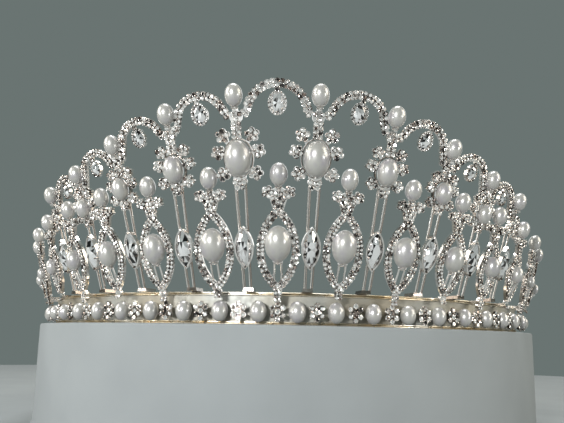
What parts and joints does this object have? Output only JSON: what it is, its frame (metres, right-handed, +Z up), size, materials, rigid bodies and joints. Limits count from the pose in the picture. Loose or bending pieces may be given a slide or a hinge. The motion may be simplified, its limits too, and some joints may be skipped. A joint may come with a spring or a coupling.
{
  "type": "bridal tiara",
  "caption": "Horseshoe bridal tiara: pearl and rosette band, leaning pavé loops with pearls, flower stems, and scallop arches with crystal drops.",
  "frame": {"origin": "on the band's resting edge, at the middle of its front, half way through its depth", "axes": "+X across the front towards the wearer's left, +Y from the front to the open back, +Z up; the band rests on the plane Z = 0"},
  "size_m": [0.162, 0.0936, 0.0547],
  "materials": {
    "band_metal": "polished rhodium-coloured plate",
    "setting_metal": "cast settings, bright polished, darker in the recesses",
    "pearl": "cream nacre coating with a soft lustre",
    "small_crystal": "faceted clear rhinestone, foil back",
    "large_crystal": "faceted clear crystal, foil back"
  },
  "bodies": {
    "root": {"band_strip": "band_metal", "upper_rail": "band_metal", "lower_rail": "band_metal", "pin_eyelet_r": "band_metal", "pin_eyelet_l": "band_metal", "band_pearls": "pearl", "band_rosettes": "setting_metal", "band_stones": "small_crystal", "loop_r7": "setting_metal", "loop_r6": "setting_metal", "loop_r5": "setting_metal", "loop_r4": "setting_metal", "loop_r3": "setting_metal", "loop_r2": "setting_metal", "loop_r1": "setting_metal", "loop_c": "setting_metal", "loop_l1": "setting_metal", "loop_l2": "setting_metal", "loop_l3": "setting_metal", "loop_l4": "setting_metal", "loop_l5": "setting_metal", "loop_l6": "setting_metal", "loop_l7": "setting_metal", "loop_pave": "small_crystal", "eye_pearls": "pearl", "tip_pearls": "pearl", "stem_r5": "setting_metal", "stem_r4": "setting_metal", "stem_r3": "setting_metal", "stem_r2": "setting_metal", "stem_r1": "setting_metal", "stem_l1": "setting_metal", "stem_l2": "setting_metal", "stem_l3": "setting_metal", "stem_l4": "setting_metal", "stem_l5": "setting_metal", "navette_crystals": "large_crystal", "flower_pearls": "pearl", "flower_stones": "small_crystal", "crest_pearls": "pearl", "arch_r5": "setting_metal", "arch_r4": "setting_metal", "arch_r3": "setting_metal", "arch_r2": "setting_metal", "arch_r1": "setting_metal", "arch_c": "setting_metal", "arch_l1": "setting_metal", "arch_l2": "setting_metal", "arch_l3": "setting_metal", "arch_l4": "setting_metal", "arch_l5": "setting_metal", "arch_pave": "small_crystal", "drop_crystals": "large_crystal"}
  },
  "joints": []
}
